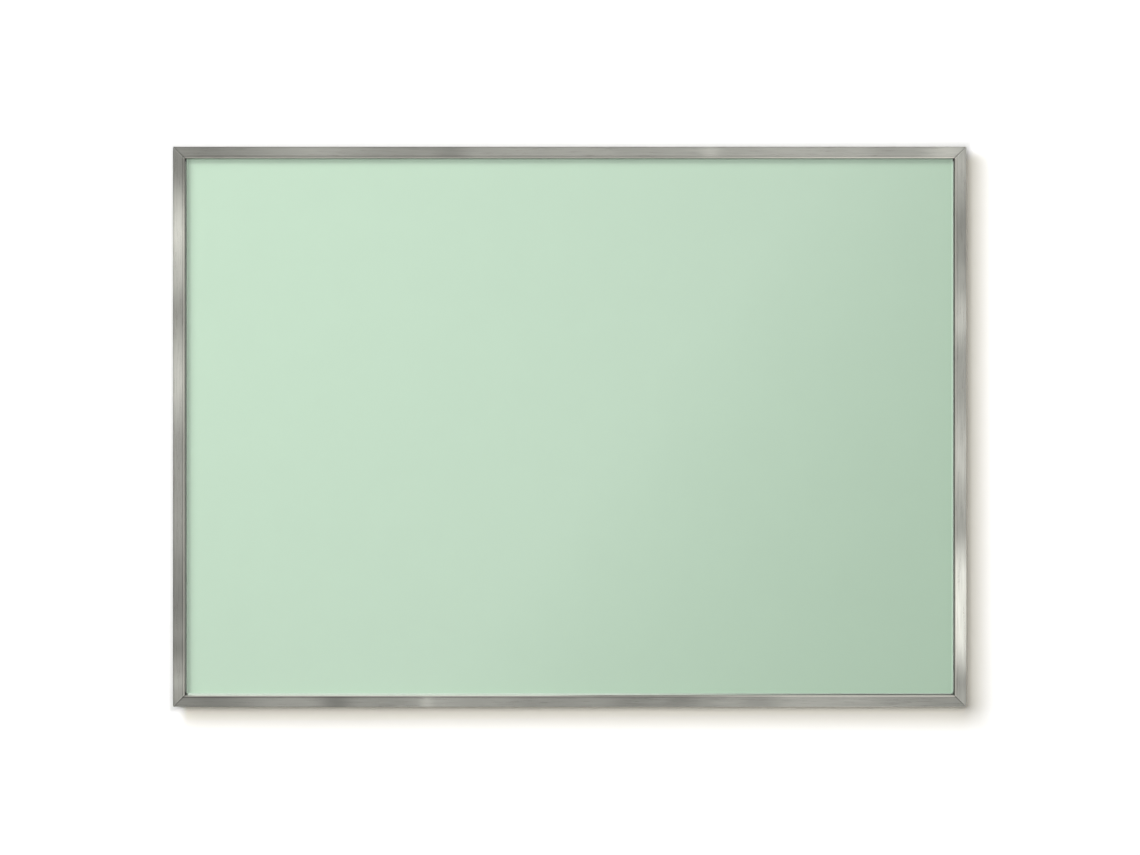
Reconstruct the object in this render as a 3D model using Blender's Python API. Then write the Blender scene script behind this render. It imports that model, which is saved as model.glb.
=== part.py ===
"""Magnetic glass board in a slim brushed metal frame, hung on an interlocking wall rail.

Metres, +Z up. The wall is the plane y = 0 and the board hangs in front of it, at negative y.
The origin is on the wall, at the middle of the rail's back face. Depths below are measured
from the frame's front face towards the wall.
"""

import math

import bmesh
import bpy
from mathutils import Matrix, Vector

MM = 0.001

# Whole board
BOARD_WIDTH = 850 * MM
BOARD_HEIGHT = 600 * MM
GAP = 0.3 * MM  # left between two pieces that touch
MITRE_GAP = 0.3 * MM  # hairline between two mitred bars

# Frame section: one extrusion, cut into four bars
FACE_WIDTH = 12.4 * MM
FACE_THICKNESS = 1.6 * MM
FACE_RADIUS = 0.6 * MM  # outer front edge
OUTER_WALL = 1.6 * MM
RETURN_DEPTH = 3.6 * MM  # inner edge of the face, folded back towards the glass
RETURN_THICKNESS = 1.4 * MM
BEAD_WIDTH = 1.7 * MM  # raised line along the inner edge of the face
BEAD_RADIUS = 0.7 * MM
GROOVE_WIDTH = 1.2 * MM  # between the bead and the flat of the face
GROOVE_DEPTH = 0.35 * MM
CHANNEL_INSET = 0.8 * MM  # the rear channel stands this far behind the face's inner edge
CHANNEL_WALL = 1.4 * MM
CHANNEL_FLOOR = 1.4 * MM
LIP_THICKNESS = 1.3 * MM  # the two rear lips that hold the channel's fittings
REAR_RADIUS = 0.4 * MM
FILLET = 0.4 * MM  # inside corners of the extrusion

# Glass and what lies behind it
GLASS_THICKNESS = 4.0 * MM
GLASS_CORNER_RADIUS = 2.0 * MM
GLASS_ARRIS = 0.5 * MM
FILM_THICKNESS = 0.4 * MM
FILM_INSET = 0.5 * MM
STEEL_THICKNESS = 0.7 * MM
STEEL_INSET = 1.0 * MM
BACKBOARD_THICKNESS = 3.0 * MM
BACKBOARD_CORNER_RADIUS = 1.5 * MM
EDGE_PLAY = 0.5 * MM  # from the pack's edge to the frame's outer wall

# Edge gasket: a U-shaped strip that wraps the glass, film and steel
GASKET_WALL = 1.0 * MM
GASKET_REAR_REACH = 6.0 * MM
GASKET_SHOW_SIDE = 1.6 * MM  # how far it shows past the frame's face
GASKET_SHOW_BOTTOM = 1.6 * MM
GASKET_SHOW_TOP = 0.1 * MM

# Spring clips: bowed steel strips that press the pack forward
CLIP_LENGTH = 46.0 * MM
CLIP_WIDTH = 12.0 * MM
CLIP_THICKNESS = 0.5 * MM
CLIP_RISE = 1.3 * MM
CLIP_PLAY = 1.6 * MM  # from the clip's outer edge to the frame's outer wall
CLIP_CORNER_RADIUS = 2.5 * MM
LONG_SIDE_CLIP_SHARES = (-0.3, 0.0, 0.3)
SHORT_SIDE_CLIP_SHARES = (-0.25, 0.25)

# Corner fittings in the rear channel
CORNER_LEG = 40.0 * MM
CORNER_PLATE_THICKNESS = 1.4 * MM
CORNER_PLATE_RADIUS = 1.5 * MM
SHIM_THICKNESS = 0.4 * MM
CORNER_SCREW_FROM_CORNER = 27.0 * MM
CORNER_SCREW_RADIUS = 1.5 * MM
CORNER_SCREW_HEAD_RADIUS = 2.6 * MM
CORNER_SCREW_HEAD_HEIGHT = 1.1 * MM
CORNER_SCREW_HEAD_ROUNDING = 0.5 * MM
SCREW_SLOT_WIDTH = 0.8 * MM
SCREW_SLOT_DEPTH = 0.6 * MM
SCREW_SLOT_TURN = math.radians(20)
SLOT_SIDE_PLAY = 0.4 * MM  # from a screw head to the channel's rear lips

# Hangers: plates clamped to the top bar's rear channel
HANGER_FROM_RAIL_END = 80.0 * MM
HANGER_WIDTH = 38.0 * MM
HANGER_THICKNESS = 1.5 * MM
HANGER_TOP_INSET = 1.5 * MM
HANGER_TAPER = 5.0 * MM
HANGER_CORNER_RADIUS = 2.0 * MM
HANGER_NUT_LENGTH = 24.0 * MM
HANGER_NUT_RADIUS = 1.5 * MM
HANGER_SCREW_RADIUS = 1.5 * MM
HANGER_SCREW_HEAD_RADIUS = 2.8 * MM
HANGER_SCREW_HEAD_SINK = 0.1 * MM
CROSS_RECESS_WIDTH = 0.7 * MM
CROSS_RECESS_LENGTH = 2.8 * MM
CROSS_RECESS_DEPTH = 0.8 * MM
CROSS_RECESS_TURN = math.radians(30)
WALL_CLEARANCE = 0.5 * MM  # between a hanger and the wall

# Wall rail: its offset lip takes the hangers' tongues
RAIL_LENGTH = 560.0 * MM
RAIL_THICKNESS = 1.8 * MM
RAIL_FLANGE_HEIGHT = 22.0 * MM
RAIL_LIP_HEIGHT = 12.0 * MM
RAIL_PLAY = 0.6 * MM  # between a tongue and the lip in front of it
RAIL_LEAD_IN = 0.6 * MM
RAIL_HEAD_ROOM = 2.4 * MM  # from the lip's top to the frame's top bar
RAIL_HOLE_RADIUS = 2.5 * MM
RAIL_COUNTERSINK = 1.0 * MM
RAIL_HOLE_FROM_END = 30.0 * MM
RAIL_HOLE_COUNT = 6

# Bumpers at the bottom corners, which keep the board off the wall
BUMPER_RADIUS = 5.2 * MM
BUMPER_TIP_RADIUS = 3.6 * MM
BUMPER_ROUNDING = 0.6 * MM
BUMPER_FROM_CORNER = 70.0 * MM
# The dome's outline, as shares of its slope: how far in, and how far short of the wall
BUMPER_DOME_SHARES = ((0.3, 0.36), (0.65, 0.12), (1.0, 0.0))

# Mesh fineness
ARC_STEPS = 4
CORNER_STEPS = 5
ROUND_STEPS = 32
CLIP_STEPS = 14
SMOOTH_ANGLE = math.radians(30)
CUT_OVERRUN = 1.0 * MM  # how far a cutter runs past what it cuts


def stacked_layers():
    """Front and back depth of each layer between the face's return and the wall."""
    layers = (
        ("gasket_front", GASKET_WALL),
        ("glass", GLASS_THICKNESS),
        ("film", FILM_THICKNESS),
        ("steel", STEEL_THICKNESS),
        ("gasket_rear", GASKET_WALL),
        ("backboard", BACKBOARD_THICKNESS),
        ("clip", CLIP_THICKNESS + CLIP_RISE),
        ("channel_floor", CHANNEL_FLOOR),
        ("shim", SHIM_THICKNESS),
        ("corner_plate", CORNER_PLATE_THICKNESS),
        ("rear_lip", LIP_THICKNESS),
        ("hanger", HANGER_THICKNESS),
    )
    depth = RETURN_DEPTH
    places = {}
    for name, thickness in layers:
        front = depth + GAP
        depth = front + thickness
        places[name] = (front, depth)
    return places


LAYER = stacked_layers()
SECTION_DEPTH = LAYER["rear_lip"][1]
WALL_DEPTH = LAYER["hanger"][1] + WALL_CLEARANCE

# Places across the frame section, from the inner edge of the face outwards
OUTER_WALL_AT = FACE_WIDTH - OUTER_WALL
CHANNEL_FROM = CHANNEL_INSET + CHANNEL_WALL
CHANNEL_MIDDLE = (CHANNEL_FROM + OUTER_WALL_AT) / 2
CHANNEL_SLOT = 2 * (CORNER_SCREW_HEAD_RADIUS + SLOT_SIDE_PLAY)
GASKET_OUTSIDE = OUTER_WALL_AT - EDGE_PLAY
GASKET_INSIDE = GASKET_OUTSIDE - GASKET_WALL
GLASS_EDGE = GASKET_INSIDE - GAP

# The opening inside the four bars, from the board's centre
INNER_HALF_WIDTH = BOARD_WIDTH / 2 - FACE_WIDTH
INNER_HALF_HEIGHT = BOARD_HEIGHT / 2 - FACE_WIDTH

# Heights of the rail and, through it, of the board
RAIL_OFFSET = WALL_CLEARANCE + HANGER_THICKNESS + RAIL_PLAY
RAIL_FLANGE_TOP = RAIL_FLANGE_HEIGHT / 2
RAIL_TOP = RAIL_FLANGE_TOP + RAIL_OFFSET + RAIL_LIP_HEIGHT
BOARD_TOP = RAIL_TOP + RAIL_HEAD_ROOM + FACE_WIDTH
BOARD_MIDDLE = BOARD_TOP - BOARD_HEIGHT / 2
# The tongue rests on the rail's 45 degree jog, by its front lower edge
TONGUE_END = RAIL_FLANGE_TOP + WALL_CLEARANCE + HANGER_THICKNESS + GAP * math.sqrt(2)

# Turn about Y that carries the top bar to each side
SIDES = {
    "top": (0.0, INNER_HALF_WIDTH, INNER_HALF_HEIGHT),
    "right": (math.pi / 2, INNER_HALF_HEIGHT, INNER_HALF_WIDTH),
    "bottom": (math.pi, INNER_HALF_WIDTH, INNER_HALF_HEIGHT),
    "left": (-math.pi / 2, INNER_HALF_HEIGHT, INNER_HALF_WIDTH),
}
# Turn about Y that carries the top right corner to each corner, and which side it lies on
CORNERS = {
    "top_right": (0.0, 1, 1),
    "bottom_right": (math.pi / 2, 1, -1),
    "bottom_left": (math.pi, -1, -1),
    "top_left": (-math.pi / 2, -1, 1),
}


def clear_scene():
    for old in list(bpy.data.objects):
        bpy.data.objects.remove(old)


def material(name, colour, roughness, metallic=0.0):
    made = bpy.data.materials.new(name)
    made.use_nodes = True
    shader = made.node_tree.nodes["Principled BSDF"]
    shader.inputs["Base Color"].default_value = (*colour, 1.0)
    shader.inputs["Roughness"].default_value = roughness
    shader.inputs["Metallic"].default_value = metallic
    return made


def make_materials():
    return {
        "frame": material("brushed_metal", (0.46, 0.46, 0.43), 0.32, 1.0),
        "glass": material("clear_glass", (0.86, 0.94, 0.90), 0.03),
        "film": material("mint_film", (0.56, 0.74, 0.58), 0.35),
        "steel": material("galvanised_steel", (0.55, 0.57, 0.58), 0.42, 1.0),
        "zinc": material("zinc_plated_steel", (0.62, 0.63, 0.64), 0.30, 1.0),
        "spring": material("spring_steel", (0.30, 0.31, 0.33), 0.35, 1.0),
        "backboard": material("hardboard", (0.33, 0.25, 0.17), 0.80),
        "gasket": material("black_gasket", (0.025, 0.026, 0.024), 0.55),
        "rubber": material("clear_rubber", (0.55, 0.55, 0.53), 0.45),
        "rail": material("mill_aluminium", (0.72, 0.73, 0.74), 0.35, 1.0),
    }


def empty(name, location, parent=None):
    made = bpy.data.objects.new(name, None)
    bpy.context.scene.collection.objects.link(made)
    made.location = location
    made.parent = parent
    return made


def finish(bm, name, finish_material):
    """A mesh from bm, closed up, facing outwards and with its round parts shaded smooth."""
    bmesh.ops.recalc_face_normals(bm, faces=bm.faces)
    mesh = bpy.data.meshes.new(name)
    bm.to_mesh(mesh)
    bm.free()
    mesh.materials.append(finish_material)
    mesh.shade_smooth()
    mesh.set_sharp_from_angle(angle=SMOOTH_ANGLE)
    return mesh


def place(name, mesh, parent, location=(0, 0, 0), turn=0.0):
    """A node: its mesh set at a place under its body, turned about Y."""
    made = bpy.data.objects.new(name, mesh)
    bpy.context.scene.collection.objects.link(made)
    made.location = location
    made.rotation_euler = (0, turn, 0)
    made.parent = parent
    return made


def arc(centre, radius, start, end, steps=ARC_STEPS):
    """Points along a circle from one angle to another, in degrees, both ends included."""
    angles = (math.radians(start + (end - start) * i / steps) for i in range(steps + 1))
    return [(centre[0] + radius * math.cos(a), centre[1] + radius * math.sin(a)) for a in angles]


def loft(rings):
    """A closed solid through rings of points, each bridged to the next, with filled ends."""
    bm = bmesh.new()
    loops = [[bm.verts.new(point) for point in ring] for ring in rings]
    for first, second in zip(loops, loops[1:]):
        for i, corner in enumerate(first):
            j = (i + 1) % len(first)
            bm.faces.new((corner, first[j], second[j], second[i]))
    bm.faces.new(loops[0])
    bm.faces.new(loops[-1])
    return bm


def turned(profile, steps=ROUND_STEPS):
    """A solid of revolution about Y through (radius, y) pairs, with flat ends."""
    rings = []
    for radius, y in profile:
        angles = (math.tau * i / steps for i in range(steps))
        rings.append([(radius * math.cos(a), y, radius * math.sin(a)) for a in angles])
    return loft(rings)


def rounded_outline(half_width, half_height, radius, steps=CORNER_STEPS):
    """A rectangle with round corners, about the origin, in x and z."""
    corners = ((1, 1, 0), (-1, 1, 90), (-1, -1, 180), (1, -1, 270))
    points = []
    for x, z, start in corners:
        centre = (x * (half_width - radius), z * (half_height - radius))
        points += arc(centre, radius, start, start + 90, steps)
    return points


def plate(outline, front, back):
    """A flat plate with an outline in x and z, between two depths."""
    return loft([[(x, depth, z) for x, z in outline] for depth in (front, back)])


def cut(target, cutter):
    """Takes the cutter away from the target with a Boolean."""
    cutter.hide_render = True
    cutter.display_type = "WIRE"
    modifier = target.modifiers.new("cut " + cutter.name, "BOOLEAN")
    modifier.operation = "DIFFERENCE"
    modifier.object = cutter


def round_hole(radius, front, back):
    """The profile of a cutter that runs right through, between two depths."""
    return [(radius, front - CUT_OVERRUN), (radius, back + CUT_OVERRUN)]


def cut_mesh(solid, cutter, places=((0, 0, 0),), turn=0.0):
    """A mesh with the cutter taken away at each place, made once for all its copies to share."""
    made = place(solid.name, solid, None)
    cutters = [place(cutter.name, cutter, None, where, turn) for where in places]
    for each in cutters:
        cut(made, each)
    bpy.context.view_layer.update()
    evaluated = made.evaluated_get(bpy.context.evaluated_depsgraph_get())
    mesh = bpy.data.meshes.new_from_object(evaluated)
    mesh.set_sharp_from_angle(angle=SMOOTH_ANGLE)
    for used in (made, *cutters):
        bpy.data.objects.remove(used)
    return mesh


def groove_outline():
    """The shallow round groove beside the bead, as a part of a circle that dips into the face."""
    half = GROOVE_WIDTH / 2
    radius = (half ** 2 + GROOVE_DEPTH ** 2) / (2 * GROOVE_DEPTH)
    sweep = math.degrees(math.asin(half / radius))
    centre = (BEAD_WIDTH + half, GROOVE_DEPTH - radius)
    return arc(centre, radius, 90 + sweep, 90 - sweep)


def frame_section():
    """The bar's outline as (distance from the face's inner edge, depth), rear channel and all."""
    floor_front, floor_back = LAYER["channel_floor"]
    lip_front, lip_back = LAYER["rear_lip"]
    outer_lip = CHANNEL_MIDDLE + CHANNEL_SLOT / 2
    inner_lip = CHANNEL_MIDDLE - CHANNEL_SLOT / 2
    front = arc((BEAD_RADIUS, BEAD_RADIUS), BEAD_RADIUS, 180, 270)
    front += groove_outline()
    front += arc((FACE_WIDTH - FACE_RADIUS, FACE_RADIUS), FACE_RADIUS, 270, 360)
    rear = arc((FACE_WIDTH - REAR_RADIUS, lip_back - REAR_RADIUS), REAR_RADIUS, 0, 90)
    rear += [(outer_lip, lip_back), (outer_lip, lip_front), (OUTER_WALL_AT, lip_front)]
    rear += arc((OUTER_WALL_AT - FILLET, floor_back + FILLET), FILLET, 0, -90)
    rear += arc((CHANNEL_FROM + FILLET, floor_back + FILLET), FILLET, 270, 180)
    rear += [(CHANNEL_FROM, lip_front), (inner_lip, lip_front), (inner_lip, lip_back)]
    rear += arc((CHANNEL_INSET + REAR_RADIUS, lip_back - REAR_RADIUS), REAR_RADIUS, 90, 180)
    rear += arc((CHANNEL_INSET + REAR_RADIUS, floor_front + REAR_RADIUS), REAR_RADIUS, 180, 270)
    rebate = arc((OUTER_WALL_AT - FILLET, floor_front - FILLET), FILLET, 90, 0)
    rebate += arc((OUTER_WALL_AT - FILLET, FACE_THICKNESS + FILLET), FILLET, 0, -90)
    rebate += arc((RETURN_THICKNESS + FILLET, FACE_THICKNESS + FILLET), FILLET, 270, 180)
    rebate += [(RETURN_THICKNESS, RETURN_DEPTH), (0, RETURN_DEPTH)]
    return front + rear + rebate


def frame_bars(board, finishes):
    """Four bars of one section. Each end is sheared to 45 degrees, so that the bars meet in mitres."""
    section = frame_section()
    back_off = MITRE_GAP / math.sqrt(2)
    for side, (turn, half_length, half_across) in SIDES.items():
        ends = []
        for sign in (-1, 1):
            half = half_length - back_off
            ends.append([(sign * (half + u), depth, half_across + u) for u, depth in section])
        mesh = finish(loft(ends), "frame_bar", finishes["frame"])
        place("frame_" + side, mesh, board, turn=turn)


def gasket_section(show):
    """The U-shaped strip's outline as (distance from the face's inner edge, depth)."""
    front, glass_side = LAYER["gasket_front"]
    steel_side, back = LAYER["gasket_rear"]
    nose = GASKET_WALL / 2
    outline = arc((nose - show, front + nose), nose, 90, 270)
    rear_edge = GASKET_OUTSIDE - GASKET_REAR_REACH
    outline += [(GASKET_OUTSIDE, front), (GASKET_OUTSIDE, back)]
    outline += [(rear_edge, back), (rear_edge, steel_side)]
    outline += [(GASKET_INSIDE, steel_side), (GASKET_INSIDE, glass_side)]
    return outline


def gaskets(board, finishes):
    """The side strips run the full height of the glass; top and bottom strips butt against them."""
    shows = {
        "top": GASKET_SHOW_TOP,
        "right": GASKET_SHOW_SIDE,
        "bottom": GASKET_SHOW_BOTTOM,
        "left": GASKET_SHOW_SIDE,
    }
    for side, (turn, half_length, half_across) in SIDES.items():
        if side in ("left", "right"):
            half_strip = half_length + GASKET_OUTSIDE
        else:
            half_strip = half_length - GASKET_SHOW_SIDE - GAP
        section = gasket_section(shows[side])
        ends = []
        for end in (-half_strip, half_strip):
            ends.append([(end, depth, half_across + u) for u, depth in section])
        mesh = finish(loft(ends), "edge_gasket", finishes["gasket"])
        place("gasket_" + side, mesh, board, turn=turn)


def glass_pane(board, finishes):
    """Toughened glass with ground round corners and a small arris all round."""
    front, back = LAYER["glass"]
    half_width = INNER_HALF_WIDTH + GLASS_EDGE
    half_height = INNER_HALF_HEIGHT + GLASS_EDGE
    full = rounded_outline(half_width, half_height, GLASS_CORNER_RADIUS)
    ground = rounded_outline(
        half_width - GLASS_ARRIS,
        half_height - GLASS_ARRIS,
        GLASS_CORNER_RADIUS - GLASS_ARRIS,
    )
    places = (
        (ground, front),
        (full, front + GLASS_ARRIS),
        (full, back - GLASS_ARRIS),
        (ground, back),
    )
    rings = [[(x, depth, z) for x, z in outline] for outline, depth in places]
    place("glass_pane", finish(loft(rings), "glass_pane", finishes["glass"]), board)


def flat_sheets(board, finishes):
    """The mint film, the steel that magnets hold to, and the backboard."""
    sheets = (
        ("colour_film", "film", GLASS_EDGE - FILM_INSET, GLASS_CORNER_RADIUS),
        ("steel_sheet", "steel", GLASS_EDGE - STEEL_INSET, GLASS_CORNER_RADIUS),
        ("backboard", "backboard", OUTER_WALL_AT - EDGE_PLAY, BACKBOARD_CORNER_RADIUS),
    )
    for name, layer, edge, radius in sheets:
        outline = rounded_outline(INNER_HALF_WIDTH + edge, INNER_HALF_HEIGHT + edge, radius)
        place(name, finish(plate(outline, *LAYER[layer]), name, finishes[layer]), board)


def spring_clip_mesh(finishes):
    """A strip bowed along an arc: its ends press the backboard, its crown the channel's floor."""
    front, back = LAYER["clip"]
    half_length = CLIP_LENGTH / 2
    bow = (half_length ** 2 + CLIP_RISE ** 2) / (2 * CLIP_RISE)
    sweep = math.degrees(math.asin(half_length / bow))
    crown = back - CLIP_THICKNESS
    line = arc((0, crown - bow), bow, 90 + sweep, 90 - sweep, CLIP_STEPS)
    half_widths = []
    for x, _ in line:
        past_straight = max(0.0, abs(x) - (half_length - CLIP_CORNER_RADIUS))
        rounding = math.sqrt(max(0.0, CLIP_CORNER_RADIUS ** 2 - past_straight ** 2))
        half_widths.append(CLIP_WIDTH / 2 - CLIP_CORNER_RADIUS + rounding)
    rings = []
    for (x, depth), half in zip(line, half_widths):
        rear = depth + CLIP_THICKNESS
        rings.append([(x, depth, -half), (x, depth, half), (x, rear, half), (x, rear, -half)])
    return finish(loft(rings), "spring_clip", finishes["spring"])


def spring_clips(board, finishes):
    mesh = spring_clip_mesh(finishes)
    shares = {
        "top": LONG_SIDE_CLIP_SHARES,
        "right": SHORT_SIDE_CLIP_SHARES,
        "bottom": LONG_SIDE_CLIP_SHARES,
        "left": SHORT_SIDE_CLIP_SHARES,
    }
    for side, (turn, half_length, half_across) in SIDES.items():
        across = half_across + OUTER_WALL_AT - CLIP_PLAY - CLIP_WIDTH / 2
        for number, share in enumerate(shares[side], start=1):
            where = Matrix.Rotation(turn, 3, "Y") @ Vector((2 * half_length * share, 0, across))
            place(f"spring_clip_{side}_{number}", mesh, board, where, turn)


def corner_outline():
    """An L that lies in the rear channels of two bars, about the frame's outer corner."""
    outside = -(FACE_WIDTH - OUTER_WALL_AT + GAP)
    inside = -(FACE_WIDTH - CHANNEL_FROM - GAP)
    end = -CORNER_LEG
    radius = CORNER_PLATE_RADIUS
    outline = arc((outside - radius, outside - radius), radius, 0, 90)
    outline += arc((end + radius, outside - radius), radius, 90, 180)
    outline += arc((end + radius, inside + radius), radius, 180, 270)
    outline += [(inside, inside)]
    outline += arc((inside + radius, end + radius), radius, 180, 270)
    outline += arc((outside - radius, end + radius), radius, 270, 360)
    return outline


def corner_screw_places():
    """Where the two screws stand, about the frame's outer corner."""
    middle = -(FACE_WIDTH - CHANNEL_MIDDLE)
    return {"a": (-CORNER_SCREW_FROM_CORNER, middle), "b": (middle, -CORNER_SCREW_FROM_CORNER)}


def corner_plate_mesh(finishes):
    front, back = LAYER["corner_plate"]
    solid = finish(plate(corner_outline(), front, back), "corner_plate", finishes["zinc"])
    hole = round_hole(CORNER_SCREW_RADIUS + GAP, front, back)
    cutter = finish(turned(hole), "corner_hole", finishes["zinc"])
    places = [(x, 0, z) for x, z in corner_screw_places().values()]
    return cut_mesh(solid, cutter, places)


def corner_screw_mesh(finishes):
    """A slotted screw whose tip bears on the shim. It is threaded through the corner plate."""
    tip = LAYER["shim"][1] + GAP
    under_head = LAYER["corner_plate"][1] + GAP
    top = under_head + CORNER_SCREW_HEAD_HEIGHT
    shank, head = CORNER_SCREW_RADIUS, CORNER_SCREW_HEAD_RADIUS
    rounding = CORNER_SCREW_HEAD_ROUNDING
    profile = [(shank, tip), (shank, under_head), (head, under_head)]
    profile += arc((head - rounding, top - rounding), rounding, 0, 90)
    solid = finish(turned(profile), "corner_screw", finishes["zinc"])
    wide, narrow = head + CUT_OVERRUN, SCREW_SLOT_WIDTH / 2
    slot = [(-wide, -narrow), (wide, -narrow), (wide, narrow), (-wide, narrow)]
    cutter = plate(slot, top - SCREW_SLOT_DEPTH, top + CUT_OVERRUN)
    return cut_mesh(solid, finish(cutter, "screw_slot", finishes["zinc"]), turn=SCREW_SLOT_TURN)


def corner_fittings(board, finishes):
    """At each corner an L plate, the shim under it, and two screws that spread them in the channel."""
    plate_mesh = corner_plate_mesh(finishes)
    shim_mesh = finish(plate(corner_outline(), *LAYER["shim"]), "corner_shim", finishes["zinc"])
    screw_mesh = corner_screw_mesh(finishes)
    for corner, (turn, x, z) in CORNERS.items():
        at_corner = Vector((x * BOARD_WIDTH / 2, 0, z * BOARD_HEIGHT / 2))
        place("corner_plate_" + corner, plate_mesh, board, at_corner, turn)
        place("corner_shim_" + corner, shim_mesh, board, at_corner, turn)
        for key, (along, across) in corner_screw_places().items():
            where = at_corner + Matrix.Rotation(turn, 3, "Y") @ Vector((along, 0, across))
            place(f"corner_screw_{corner}_{key}", screw_mesh, board, where, turn)


def hanger_plate_mesh(finishes, screw_height):
    """A plate, drawn about its screw, that lies on the channel's lips and ends in a tapered tongue."""
    front, back = LAYER["hanger"]
    top = BOARD_TOP - HANGER_TOP_INSET - screw_height
    end = TONGUE_END - screw_height
    half = HANGER_WIDTH / 2
    radius = HANGER_CORNER_RADIUS
    outline = arc((half - radius, top - radius), radius, 0, 90)
    outline += arc((radius - half, top - radius), radius, 90, 180)
    outline += [(-half, end + HANGER_TAPER), (HANGER_TAPER - half, end)]
    outline += [(half - HANGER_TAPER, end), (half, end + HANGER_TAPER)]
    solid = finish(plate(outline, front, back), "hanger_plate", finishes["zinc"])
    neck = HANGER_SCREW_RADIUS + GAP
    mouth = HANGER_SCREW_HEAD_RADIUS + GAP
    sunk = back - HANGER_SCREW_HEAD_SINK
    profile = [(neck, front - CUT_OVERRUN), (neck, sunk - (mouth - neck))]
    profile += [(mouth, sunk), (mouth, back + CUT_OVERRUN)]
    return cut_mesh(solid, finish(turned(profile), "hanger_countersink", finishes["zinc"]))


def hanger_nut_mesh(finishes):
    """The nut plate that runs in the channel, under its lips."""
    front, back = LAYER["corner_plate"]
    half_width = (OUTER_WALL_AT - CHANNEL_FROM) / 2 - GAP
    outline = rounded_outline(HANGER_NUT_LENGTH / 2, half_width, HANGER_NUT_RADIUS)
    solid = finish(plate(outline, front, back), "hanger_nut", finishes["zinc"])
    hole = round_hole(HANGER_SCREW_RADIUS + GAP, front, back)
    return cut_mesh(solid, finish(turned(hole), "hanger_nut_hole", finishes["zinc"]))


def hanger_screw_mesh(finishes):
    """A countersunk screw with a cross recess, from the hanger's back face down to the nut plate."""
    tip = LAYER["corner_plate"][0]
    top = LAYER["hanger"][1] - HANGER_SCREW_HEAD_SINK
    shank, head = HANGER_SCREW_RADIUS, HANGER_SCREW_HEAD_RADIUS
    profile = [(shank, tip), (shank, top - (head - shank)), (head, top)]
    solid = finish(turned(profile), "hanger_screw", finishes["zinc"])
    wide, narrow = CROSS_RECESS_LENGTH / 2, CROSS_RECESS_WIDTH / 2
    cross = [(wide, -narrow), (wide, narrow), (narrow, narrow)]
    cross += [(narrow, wide), (-narrow, wide), (-narrow, narrow)]
    cross += [(-x, -z) for x, z in cross]
    cutter = plate(cross, top - CROSS_RECESS_DEPTH, top + CUT_OVERRUN)
    return cut_mesh(solid, finish(cutter, "cross_recess", finishes["zinc"]), turn=CROSS_RECESS_TURN)


def hangers(board, finishes):
    """Two hangers, each a body of its own that slides along the top bar's channel."""
    screw_across = INNER_HALF_HEIGHT + CHANNEL_MIDDLE
    meshes = {
        "plate": hanger_plate_mesh(finishes, BOARD_MIDDLE + screw_across),
        "nut": hanger_nut_mesh(finishes),
        "screw": hanger_screw_mesh(finishes),
    }
    from_middle = RAIL_LENGTH / 2 - HANGER_FROM_RAIL_END
    for side, sign in (("left", -1), ("right", 1)):
        body = empty("hanger_" + side, (sign * from_middle, 0, screw_across), board)
        for piece, mesh in meshes.items():
            place(f"hanger_{piece}_{side}", mesh, body)


def bumpers(board, finishes):
    """Domed pads stuck over the bottom bar's rear lips, flat where they meet the wall."""
    seat = SECTION_DEPTH + GAP
    profile = [(BUMPER_RADIUS, seat)]
    slope = BUMPER_RADIUS - BUMPER_TIP_RADIUS
    profile += [(BUMPER_RADIUS, seat + BUMPER_ROUNDING)]
    for inward, short in BUMPER_DOME_SHARES:
        profile += [(BUMPER_RADIUS - slope * inward, WALL_DEPTH - slope * short)]
    mesh = finish(turned(profile), "bumper", finishes["rubber"])
    down = -(INNER_HALF_HEIGHT + CHANNEL_MIDDLE)
    from_middle = BOARD_WIDTH / 2 - BUMPER_FROM_CORNER
    for side, sign in (("left", -1), ("right", 1)):
        place("bumper_" + side, mesh, board, (sign * from_middle, 0, down))


def wall_rail(wall_mount, finishes):
    """A Z section: a flange for the wall's screws and a lip that stands off it, past a 45 degree jog."""
    bend = RAIL_THICKNESS * (math.sqrt(2) - 1)
    lip_front = -(RAIL_OFFSET + RAIL_THICKNESS)
    section = [
        (0, -RAIL_FLANGE_HEIGHT / 2),
        (0, RAIL_FLANGE_TOP),
        (-RAIL_OFFSET, RAIL_FLANGE_TOP + RAIL_OFFSET),
        (-RAIL_OFFSET, RAIL_TOP - RAIL_LEAD_IN),
        (-RAIL_OFFSET - RAIL_LEAD_IN, RAIL_TOP),
        (lip_front, RAIL_TOP),
        (lip_front, RAIL_FLANGE_TOP + RAIL_OFFSET - bend),
        (-RAIL_THICKNESS, RAIL_FLANGE_TOP - bend),
        (-RAIL_THICKNESS, -RAIL_FLANGE_HEIGHT / 2),
    ]
    ends = [[(x, y, z) for y, z in section] for x in (-RAIL_LENGTH / 2, RAIL_LENGTH / 2)]
    rail = place("wall_rail", finish(loft(ends), "wall_rail", finishes["rail"]), wall_mount)
    mouth = RAIL_HOLE_RADIUS + RAIL_COUNTERSINK
    profile = [
        (mouth, -RAIL_THICKNESS - CUT_OVERRUN),
        (mouth, -RAIL_THICKNESS),
        (RAIL_HOLE_RADIUS, RAIL_COUNTERSINK - RAIL_THICKNESS),
        (RAIL_HOLE_RADIUS, CUT_OVERRUN),
    ]
    cutter_mesh = finish(turned(profile), "rail_hole", finishes["rail"])
    first = RAIL_HOLE_FROM_END - RAIL_LENGTH / 2
    pitch = -2 * first / (RAIL_HOLE_COUNT - 1)
    for number in range(RAIL_HOLE_COUNT):
        where = (first + number * pitch, 0, 0)
        cut(rail, place(f"rail_hole_{number + 1}", cutter_mesh, wall_mount, where))


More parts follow.
